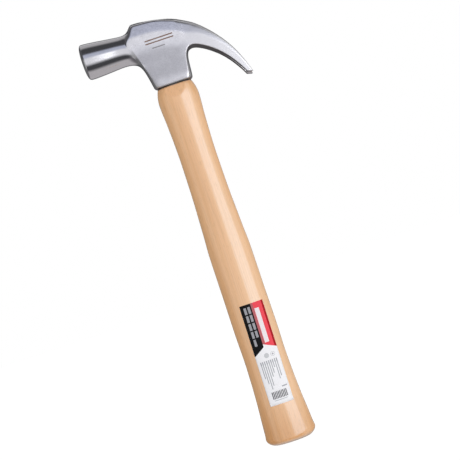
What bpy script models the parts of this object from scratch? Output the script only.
"""Claw hammer with a wooden handle, built from six separate pieces.

Frame: the origin is the middle of the handle's flat butt end, +Z runs up the
handle to the head, the claw points along +X, the striking face looks along -X,
and Y = 0 is the plane of symmetry through head and handle.

Lengths below are in millimetres; MM turns them into Blender's metres.
"""

import math

import bmesh
import bpy
from mathutils import Euler, Matrix, Vector

MM = 0.001
GAP = 0.3                    # clearance between pieces that touch
WELD = 0.01                  # points closer than this on the mid-plane become one
SHARP_ANGLE = math.radians(40)            # edges that turn more are shaded sharp

# Head: a forging that runs from the round striking face to the split claw.
FACE_X = -60.8
POLL = [                     # x, height of the centre line, radius
    (FACE_X, 321.3, 5.0),
    (-60.5, 321.3, 9.2),
    (-59.9, 321.3, 12.0),
    (-58.8, 321.3, 13.5),
    (-57.2, 321.2, 13.95),
    (-49.0, 320.9, 13.4),
    (-40.0, 320.6, 12.5),
    (-32.0, 320.4, 11.7),
]
# Sections through shoulder, cheeks, eye and claw. Each has a point on the
# crown's mid-line, one on the cheek's lower corner and one on the underside's
# mid-line, all as (x, z), then how far the section has turned from the neck's
# circle (0) into the cheek block (1). The shoulder's sections also say how far
# the flat cheek reaches out along the neck.
SHOULDER = [
    ((-27.5, 331.6), (-27.2, 311.5), (-27.0, 308.4), 0.06, 0.4),
    ((-24.5, 331.8), (-23.6, 310.8), (-23.4, 307.4), 0.26, 2.3),
    ((-22.0, 333.0), (-20.6, 309.2), (-20.8, 305.8), 0.50, 4.2),
    ((-20.1, 334.9), (-18.5, 306.2), (-19.0, 302.8), 0.73, 5.8),
    ((-18.6, 336.9), (-16.6, 301.4), (-17.8, 298.8), 0.92, 6.9),
    ((-17.2, 337.8), (-15.2, 296.4), (-17.0, 295.0), 1.00, 7.6),
    ((-14.5, 337.7), (-14.1, 290.6), (-16.1, 290.0), 1.00, 5.6),
]
# Share of that reach at each share of the way down from crown to cheek corner.
BEND = [(0.0, 0.0), (0.07, 0.02), (0.14, 0.08), (0.20, 0.22), (0.27, 0.52), (0.33, 0.84),
        (0.40, 1.00), (0.48, 0.96), (0.59, 0.62), (0.70, 0.28), (0.85, 0.05), (1.0, 0.0)]
SKIRT_Z = 284.7              # lowest face of the head, round the handle
SKIRT = [
    ((-11.5, 337.6), (-12.9, SKIRT_Z), (-15.2, SKIRT_Z), 1.0),
    ((-7.0, 337.4), (-7.6, SKIRT_Z), (-8.6, SKIRT_Z), 1.0),
    ((-2.0, 337.05), (-2.6, SKIRT_Z), (-2.8, SKIRT_Z), 1.0),
    ((3.0, 336.05), (2.6, SKIRT_Z), (2.8, SKIRT_Z), 1.0),
    ((8.0, 334.5), (7.6, SKIRT_Z), (8.6, SKIRT_Z), 1.0),
    ((12.5, 332.9), (12.6, SKIRT_Z), (15.3, SKIRT_Z), 1.0),
]
THROAT = [
    ((16.0, 331.6), (13.8, 291.4), (15.9, 291.0), 1.0),
    ((19.0, 330.1), (14.7, 298.0), (16.3, 297.7), 1.0),
    ((21.8, 328.6), (16.2, 304.2), (17.3, 303.7), 1.0),
    ((24.5, 327.1), (19.5, 307.6), (19.7, 307.2), 1.0),
    ((27.5, 325.3), (23.5, 307.7), (23.5, 307.7), 1.0),
]
CLAW = [
    ((31.0, 322.5), (27.4, 306.1), (27.4, 306.1), 1.0),
    ((35.0, 318.8), (31.3, 303.9), (31.3, 303.9), 1.0),
    ((39.3, 314.2), (35.5, 300.9), (35.5, 300.9), 1.0),
    ((43.5, 309.1), (39.9, 297.3), (39.9, 297.3), 1.0),
    ((47.5, 303.4), (44.0, 293.1), (44.0, 293.1), 1.0),
    ((51.3, 297.0), (47.7, 288.5), (47.7, 288.5), 1.0),
    ((54.7, 289.7), (50.9, 283.6), (50.9, 283.6), 1.0),
    ((57.6, 281.9), (53.6, 279.3), (53.6, 279.3), 1.0),
    ((60.0, 274.4), (55.4, 275.6), (55.4, 275.6), 1.0),
]
HALF_WIDTH = 11.9            # from the mid-plane to a cheek
CLAW_FLARE = 0.5             # what each side of the claw gains by the tip
CROWN_DROP = 3.0             # how far the crown falls from mid-line to edge
CROWN_BOW = (0.28, 0.55)     # share of that fall, and of the half width, on the way
BAND = 11.0                  # depth of the sloping band above a cheek
BAND_SHARE, BAND_SHARE_TIP = 0.52, 0.30   # its largest share of the claw's depth
BAND_TURN = 2.6              # how soon the band turns into the flat cheek
BAND_SLOPE = math.radians(12)
CHEEK_MIDDLE = 0.38          # share of the cheek above its middle row
UNDER_BOW = [(0.45, 0.80), (0.86, 0.42)]  # shares of fall and width, underneath
SLIM_DROP, SLIM_TURN = 0.30, 0.25         # limits for a slim claw, shares of the band
RING = 10                    # steps from the crown down one side to the underside
CROWN_EDGE, CHEEK_CORNER = 2, 7
RIM = 3                      # the striking face's outer edge, as a row of POLL

# Nail slot: half width on the underside and on the crown at each section from
# the slot's root to the claw's tip.
SLOT = [(0.0, 0.0), (1.1, 2.0), (2.1, 3.0), (2.9, 3.8), (3.6, 4.4), (4.1, 4.8)]
WALL_STEPS = 3               # rows of faces on each wall of the slot

# Eye: height, half length, half width, wider at both mouths than in its waist.
EYE = [
    (278.0, 13.2, 9.2),
    (286.0, 13.2, 9.2),
    (298.0, 12.6, 8.6),
    (314.0, 12.4, 7.9),
    (328.0, 12.6, 7.8),
    (344.0, 12.9, 7.8),
]

# Handle: height, half width along X, half thickness along Y.
GRIP = [
    (0.0, 10.0, 4.5),
    (0.4, 13.0, 7.6),
    (1.0, 14.9, 10.0),
    (1.7, 16.2, 11.7),
    (2.4, 17.2, 12.7),
    (3.4, 18.2, 13.2),
    (4.8, 19.1, 13.45),
    (6.4, 19.5, 13.5),
    (9.5, 19.1, 13.3),
    (15.0, 18.7, 13.0),
    (22.5, 18.2, 12.7),
    (30.0, 17.6, 12.3),
    (40.0, 17.0, 11.9),
    (52.0, 16.5, 11.6),
    (68.0, 16.2, 11.4),
    (90.0, 16.5, 11.4),
    (120.0, 16.3, 11.2),
    (151.0, 16.2, 11.1),
    (166.0, 15.5, 10.8),
    (181.0, 14.9, 10.5),
    (196.0, 14.35, 10.2),
    (212.0, 14.1, 10.1),
    (227.0, 14.0, 10.1),
    (242.0, 14.3, 10.4),
    (252.0, 14.7, 10.8),
    (260.0, 15.1, 11.2),
    (267.0, 15.6, 11.6),
    (273.0, 15.8, 11.9),
    (277.5, 15.3, 11.9),
    (281.0, 14.4, 11.4),
    (283.2, 13.6, 10.6),
]
OVAL_POWER = 2.1             # 2 is an ellipse, more is squarer
OVAL_POINTS = 40
TENON_START = SKIRT_Z - 0.2  # where the grip ends and the tenon enters the eye
TENON_END = 334.7            # height of the tenon's end on the handle's axis
TENON_TILT = math.radians(11)
TRIM_SIZE = 60.0             # cube that clears all the space over the tenon
FLAT_TOUCH = (11.8, 274.6)   # where each planed flat leaves the grip, as (y, z)
FLAT_LEAN = math.radians(17)
FLAT_SKEW = math.radians(5)
FLAT_SLAB = (50.0, 12.0, 30.0)            # cutter's width, thickness and height
FLAT_BELOW = 8.0             # how far the cutter reaches below that line

# Wedges, driven into the tenon's end.
KERF_DEPTH = 27.0
KERF_WIDTH = 40.0            # past both sides of the tenon
WEDGE_RISE = 12.0            # length of a wedge above the tenon before it is cut off
WOOD_WEDGE = (24.0, 3.0, 24.0, 0.9)       # width, thick end, depth, thin end
STEEL_WEDGE = (11.0, 1.9, 13.0, 0.6)
STEEL_WEDGE_PLACES = {
    "steel_wedge_front": (-5.6, math.radians(78)),
    "steel_wedge_rear": (5.4, math.radians(102)),
}

# Label: pasted round the grip's front, off centre towards the claw.
LABEL_X = (-8.0, 11.5)
LABEL_Z = (30.75, 109.4)
LABEL_THICKNESS = 0.25
LABEL_COLUMNS, LABEL_ROWS = 10, 14


def clear_scene():
    for item in list(bpy.data.objects):
        bpy.data.objects.remove(item, do_unlink=True)


def new_collection(name):
    group = bpy.data.collections.new(name)
    bpy.context.scene.collection.children.link(group)
    return group


def make_material(name, colour, roughness, metallic):
    made = bpy.data.materials.new(name)
    made.use_nodes = True
    shader = made.node_tree.nodes["Principled BSDF"]
    shader.inputs["Base Color"].default_value = (*colour, 1.0)
    shader.inputs["Roughness"].default_value = roughness
    shader.inputs["Metallic"].default_value = metallic
    return made


def make_object(name, mesh, collection, material=None):
    item = bpy.data.objects.new(name, mesh)
    if material:
        mesh.materials.append(material)
    collection.objects.link(item)
    return item


def make_cutter(name, mesh, collection):
    item = make_object(name, mesh, collection)
    item.hide_render = True
    item.display_type = "WIRE"
    return item


def cut(item, cutter, operation="DIFFERENCE"):
    modifier = item.modifiers.new(cutter.name, "BOOLEAN")
    modifier.operation = operation
    modifier.object = cutter


def smooth(mesh):
    mesh.shade_smooth()
    mesh.set_sharp_from_angle(angle=SHARP_ANGLE)


def loft(name, rings):
    """A closed skin through rings of equal point count, capped at both ends."""
    mesh = bpy.data.meshes.new(name)
    build = bmesh.new()
    loops = [[build.verts.new(Vector(p) * MM) for p in ring] for ring in rings]
    for lower, upper in zip(loops, loops[1:]):
        for i in range(len(lower)):
            j = (i + 1) % len(lower)
            build.faces.new((lower[i], lower[j], upper[j], upper[i]))
    build.faces.new(reversed(loops[0]))
    build.faces.new(loops[-1])
    build.to_mesh(mesh)
    build.free()
    return mesh


def oval(z, half_x, half_y, points=OVAL_POINTS, power=OVAL_POWER):
    ring = []
    for i in range(points):
        turn = 2 * math.pi * i / points
        x = math.copysign(abs(math.cos(turn)) ** (2 / power), math.cos(turn))
        y = math.copysign(abs(math.sin(turn)) ** (2 / power), math.sin(turn))
        ring.append((half_x * x, half_y * y, z))
    return ring


def round_section(top, low, radius):
    """Half of a circle's control ring, widened so that subdivision meets it."""
    grow = 3 / (2 + math.cos(math.pi / RING))
    middle, reach = (top + low) / 2, (top - low) / 2 * grow
    points = []
    for step in range(RING + 1):
        turn = math.pi * step / RING
        at = middle + reach * math.cos(turn)
        points.append(Vector((at.x, -radius * grow * math.sin(turn), at.z)))
    return points


def block_section(top, corner, low, half_width, band, slot):
    """Half of a cheek block's control ring: crown, band, cheek, underside."""
    slot_low, slot_top = slot
    side = (corner - top).length
    down = (corner - top) / side
    drop = min(CROWN_DROP, SLIM_DROP * band)
    crown = half_width - (band - drop) * math.tan(BAND_SLOPE)
    turn = min(BAND_TURN, SLIM_TURN * band)
    under = half_width - slot_low
    bow_fall, bow_width = CROWN_BOW
    points = [
        (top + down * drop * (slot_top / crown) ** 2, slot_top),
        (top + down * drop * bow_fall, slot_top + bow_width * (crown - slot_top)),
        (top + down * drop, crown),
        (top + down * (band - turn), half_width - turn * math.tan(BAND_SLOPE)),
        (top + down * band, half_width),
        (top + down * (band + turn), half_width),
        (top + down * (band + turn + CHEEK_MIDDLE * (side - band - turn)), half_width),
        (corner, half_width),
        *[(corner.lerp(low, fall), slot_low + share * under) for fall, share in UNDER_BOW],
        (low, slot_low),
    ]
    return [Vector((at.x, -width, at.z)) for at, width in points]


def bend_share(down):
    """How much of a section's reach applies at this share of the way down."""
    for (s0, v0), (s1, v1) in zip(BEND, BEND[1:]):
        if down <= s1:
            return v0 + (v1 - v0) * (down - s0) / (s1 - s0)
    return BEND[-1][1]


def head_sections():
    sections = []
    for x, middle, radius in POLL:
        top = Vector((x, 0, middle + radius))
        low = Vector((x, 0, middle - radius))
        sections.append(round_section(top, low, radius))
    stations = SHOULDER + SKIRT + THROAT + CLAW
    claw_start = len(stations) - len(CLAW)
    slots = [(0.0, 0.0)] * (len(stations) - len(SLOT)) + SLOT
    for index, (top, corner, low, square, *reach) in enumerate(stations):
        top, corner, low = (Vector((x, 0, z)) for x, z in (top, corner, low))
        along = max(0, index - claw_start + 1) / len(CLAW)
        width = HALF_WIDTH + CLAW_FLARE * along
        share = BAND_SHARE + (BAND_SHARE_TIP - BAND_SHARE) * along
        band = min(BAND, share * (corner - top).length)
        block = block_section(top, corner, low, width, band, slots[index])
        circle = round_section(top, low, POLL[-1][2])
        ring = [a.lerp(b, square) for a, b in zip(circle, block)]
        for point in ring[1:-1]:
            point.x -= sum(reach) * bend_share((top.z - point.z) / (top.z - corner.z))
        sections.append(ring)
    return sections


def crease_head(build, grid, root):
    """Keep the edges of face, crown, skirt and claw crisp under subdivision."""
    layer = build.edges.layers.float.new("crease_edge")

    def crease(a, b, value):
        build.edges.get((a, b))[layer] = value

    block = len(POLL) + len(SHOULDER) - 2
    skirt = len(POLL) + len(SHOULDER)
    throat = skirt + len(SKIRT)
    claw = throat + len(THROAT) - 1
    last = len(grid) - 1
    runs = [(CROWN_EDGE, block, throat, 0.50), (CROWN_EDGE, throat, claw, 0.36),
            (CROWN_EDGE, claw, last, 0.22), (CHEEK_CORNER, skirt, throat - 1, 0.80),
            (CHEEK_CORNER, throat - 1, claw, 0.45), (CHEEK_CORNER, claw, last, 0.60),
            (0, root, last, 0.40), (RING, root, last, 0.40)]
    for step, first, end, value in runs:
        for row in range(first, end):
            crease(grid[row][step], grid[row + 1][step], value)
    turns = [(skirt, CHEEK_CORNER, RING, 0.35), (throat - 1, CHEEK_CORNER, RING, 0.35),
             (block, 0, CROWN_EDGE, 0.25), (block, CROWN_EDGE, CHEEK_CORNER, 0.28),
             (0, 0, RING, 1.0), (RIM, 0, RING, 0.30), (last, 0, RING, 0.50)]
    for row, first, end, value in turns:
        for step in range(first, end):
            crease(grid[row][step], grid[row][step + 1], value)


def slot_wall(build, grid, root):
    """Faces of one wall of the nail slot, from its root line to the claw's tip."""
    lines = []
    for ring in grid[root:]:
        low, top = ring[RING], ring[0]
        between = [build.verts.new(low.co.lerp(top.co, step / WALL_STEPS))
                   for step in range(1, WALL_STEPS)]
        lines.append([low, *between, top])
    for left, right in zip(lines, lines[1:]):
        for step in range(WALL_STEPS):
            build.faces.new((left[step], left[step + 1], right[step + 1], right[step]))
    return lines[-1][1:-1]


def head_cage():
    """One side of the head, open at the mid-plane for the Mirror modifier."""
    mesh = bpy.data.meshes.new("hammer_head")
    build = bmesh.new()
    grid = [[build.verts.new(p * MM) for p in ring] for ring in head_sections()]
    root = len(grid) - len(SLOT)
    for left, right in zip(grid, grid[1:]):
        for step in range(RING):
            build.faces.new((left[step], left[step + 1], right[step + 1], right[step]))
    build.faces.new(reversed(grid[0]))
    build.faces.new(grid[-1] + slot_wall(build, grid, root))
    crease_head(build, grid, root)
    build.to_mesh(mesh)
    build.free()
    smooth(mesh)
    return mesh


def make_head(parts, cutters):
    steel = make_material("satin steel", (0.52, 0.53, 0.55), 0.32, 1.0)
    head = make_object("hammer_head", head_cage(), parts, steel)
    mirror = head.modifiers.new("other side", "MIRROR")
    mirror.use_axis = (False, True, False)
    mirror.use_clip = True
    mirror.merge_threshold = WELD * MM
    rounding = head.modifiers.new("rounding", "SUBSURF")
    rounding.levels = 1
    rounding.render_levels = 1
    eye = make_cutter("eye_space", loft("eye_space", [oval(*row) for row in EYE]), cutters)
    cut(head, eye)
    return head


def eye_size(z):
    """Half length and half width of the eye at a height."""
    for (z0, x0, y0), (z1, x1, y1) in zip(EYE, EYE[1:]):
        if z <= z1:
            share = (z - z0) / (z1 - z0)
            return x0 + (x1 - x0) * share, y0 + (y1 - y0) * share
    return EYE[-1][1:]


def tenon_rings():
    rings = []
    for z in [TENON_START] + [row[0] for row in EYE[1:]]:
        half_x, half_y = eye_size(z)
        rings.append(oval(z, half_x - GAP, half_y - GAP))
    return rings


def tenon_trim(cutters):
    """The half space above the tenon's end, which is dressed to the crown."""
    bpy.ops.mesh.primitive_cube_add(size=TRIM_SIZE * MM)
    block = bpy.context.active_object
    mesh = block.data
    bpy.data.objects.remove(block)
    turn = Matrix.Rotation(TENON_TILT, 4, "Y")
    lift = Matrix.Translation((0, 0, TRIM_SIZE / 2 * MM))
    mesh.transform(Matrix.Translation((0, 0, TENON_END * MM)) @ turn @ lift)
    mesh.name = "space_over_tenon"
    return make_cutter(mesh.name, mesh, cutters)


def planed_flats(cutters):
    """Slabs that plane a leaning flat on the grip's two sides under the head."""
    bpy.ops.mesh.primitive_cube_add(size=1)
    block = bpy.context.active_object
    mesh = block.data
    bpy.data.objects.remove(block)
    mesh.name = "flat_slab"
    width, depth, height = (size * MM for size in FLAT_SLAB)
    mesh.transform(Matrix.Diagonal((width, depth, height, 1)))
    y, z = FLAT_TOUCH
    lift = Matrix.Translation((0, -depth / 2, height / 2 - FLAT_BELOW * MM))
    lean = Euler((-FLAT_LEAN, FLAT_SKEW, 0)).to_matrix().to_4x4()
    mesh.transform(Matrix.Translation((0, -y * MM, z * MM)) @ lean @ lift)
    slab = make_cutter(mesh.name, mesh, cutters)
    mirror = slab.modifiers.new("other side", "MIRROR")
    mirror.use_axis = (False, True, False)
    mirror.merge_threshold = WELD * MM
    return slab


def wedge_mesh(name, size, grow=0.0):
    """A wedge that hangs point down from z = 0, grown on all sides by grow."""
    width, thick, depth, thin = size
    rings = []
    for z, across in ((-depth - grow, thin), (WEDGE_RISE, thick)):
        half_x, half_y = width / 2 + grow, across / 2 + grow
        rings.append([(-half_x, -half_y, z), (half_x, -half_y, z),
                      (half_x, half_y, z), (-half_x, half_y, z)])
    return loft(name, rings)


def tenon_end(x):
    """A point on the tenon's end at a place along its length."""
    return Vector((x, 0, TENON_END - x * math.tan(TENON_TILT)))


def place_wedge(mesh, x, turn):
    place = Matrix.Translation(tenon_end(x) * MM) @ Matrix.Rotation(turn, 4, "Z")
    mesh.transform(place)
    return mesh


def make_wedges(parts, cutters, trim):
    """Wooden wedge along the eye, and two steel wedges across it."""
    spaces = []
    kerf_size = (KERF_WIDTH, WOOD_WEDGE[1], KERF_DEPTH, WOOD_WEDGE[3])
    kerf = wedge_mesh("kerf_space", kerf_size, GAP)
    spaces.append(make_cutter("kerf_space", place_wedge(kerf, 0, 0), cutters))

    wood = make_material("wedge wood", (0.50, 0.31, 0.16), 0.6, 0.0)
    wedge = wedge_mesh("wooden_wedge", WOOD_WEDGE)
    wooden = make_object("wooden_wedge", place_wedge(wedge, 0, 0), parts, wood)
    cut(wooden, trim)

    steel = make_material("wedge steel", (0.35, 0.35, 0.36), 0.45, 1.0)
    for name, (x, turn) in STEEL_WEDGE_PLACES.items():
        space = wedge_mesh(name + "_space", STEEL_WEDGE, GAP)
        spaces.append(make_cutter(space.name, place_wedge(space, x, turn), cutters))
        cut(wooden, spaces[-1])
        mesh = place_wedge(wedge_mesh(name, STEEL_WEDGE), x, turn)
        cut(make_object(name, mesh, parts, steel), trim)
    return spaces


def make_handle(parts, cutters):
    beech = make_material("lacquered beech", (0.72, 0.47, 0.26), 0.38, 0.0)
    mesh = loft("handle", [oval(*row) for row in GRIP] + tenon_rings())
    smooth(mesh)
    handle = make_object("handle", mesh, parts, beech)
    trim = tenon_trim(cutters)
    cut(handle, planed_flats(cutters))
    cut(handle, trim)
    for space in make_wedges(parts, cutters, trim):
        cut(handle, space)
    return handle


def grip_size(z):
    for (z0, x0, y0), (z1, x1, y1) in zip(GRIP, GRIP[1:]):
        if z <= z1:
            share = (z - z0) / (z1 - z0)
            return x0 + (x1 - x0) * share, y0 + (y1 - y0) * share
    return GRIP[-1][1:]


def make_label(parts):
    """A sheet that follows the grip's front, thickened outwards."""
    mesh = bpy.data.meshes.new("handle_label")
    build = bmesh.new()
    grid = []
    for row in range(LABEL_ROWS + 1):
        z = LABEL_Z[0] + (LABEL_Z[1] - LABEL_Z[0]) * row / LABEL_ROWS
        half_x, half_y = (size + GAP for size in grip_size(z))
        line = []
        for column in range(LABEL_COLUMNS + 1):
            x = LABEL_X[0] + (LABEL_X[1] - LABEL_X[0]) * column / LABEL_COLUMNS
            y = half_y * (1 - abs(x / half_x) ** OVAL_POWER) ** (1 / OVAL_POWER)
            line.append(build.verts.new(Vector((x, -y, z)) * MM))
        grid.append(line)
    for lower, upper in zip(grid, grid[1:]):
        for i in range(LABEL_COLUMNS):
            build.faces.new((lower[i], lower[i + 1], upper[i + 1], upper[i]))
    build.to_mesh(mesh)
    build.free()
    smooth(mesh)
    paper = make_material("label paper", (0.85, 0.85, 0.86), 0.5, 0.0)
    label = make_object("handle_label", mesh, parts, paper)
    sheet = label.modifiers.new("thickness", "SOLIDIFY")
    sheet.thickness = LABEL_THICKNESS * MM
    sheet.offset = 1.0
    return label


def main():
    clear_scene()
    parts = new_collection("claw_hammer")
    cutters = new_collection("cutters")
    make_head(parts, cutters)
    make_handle(parts, cutters)
    make_label(parts)


main()
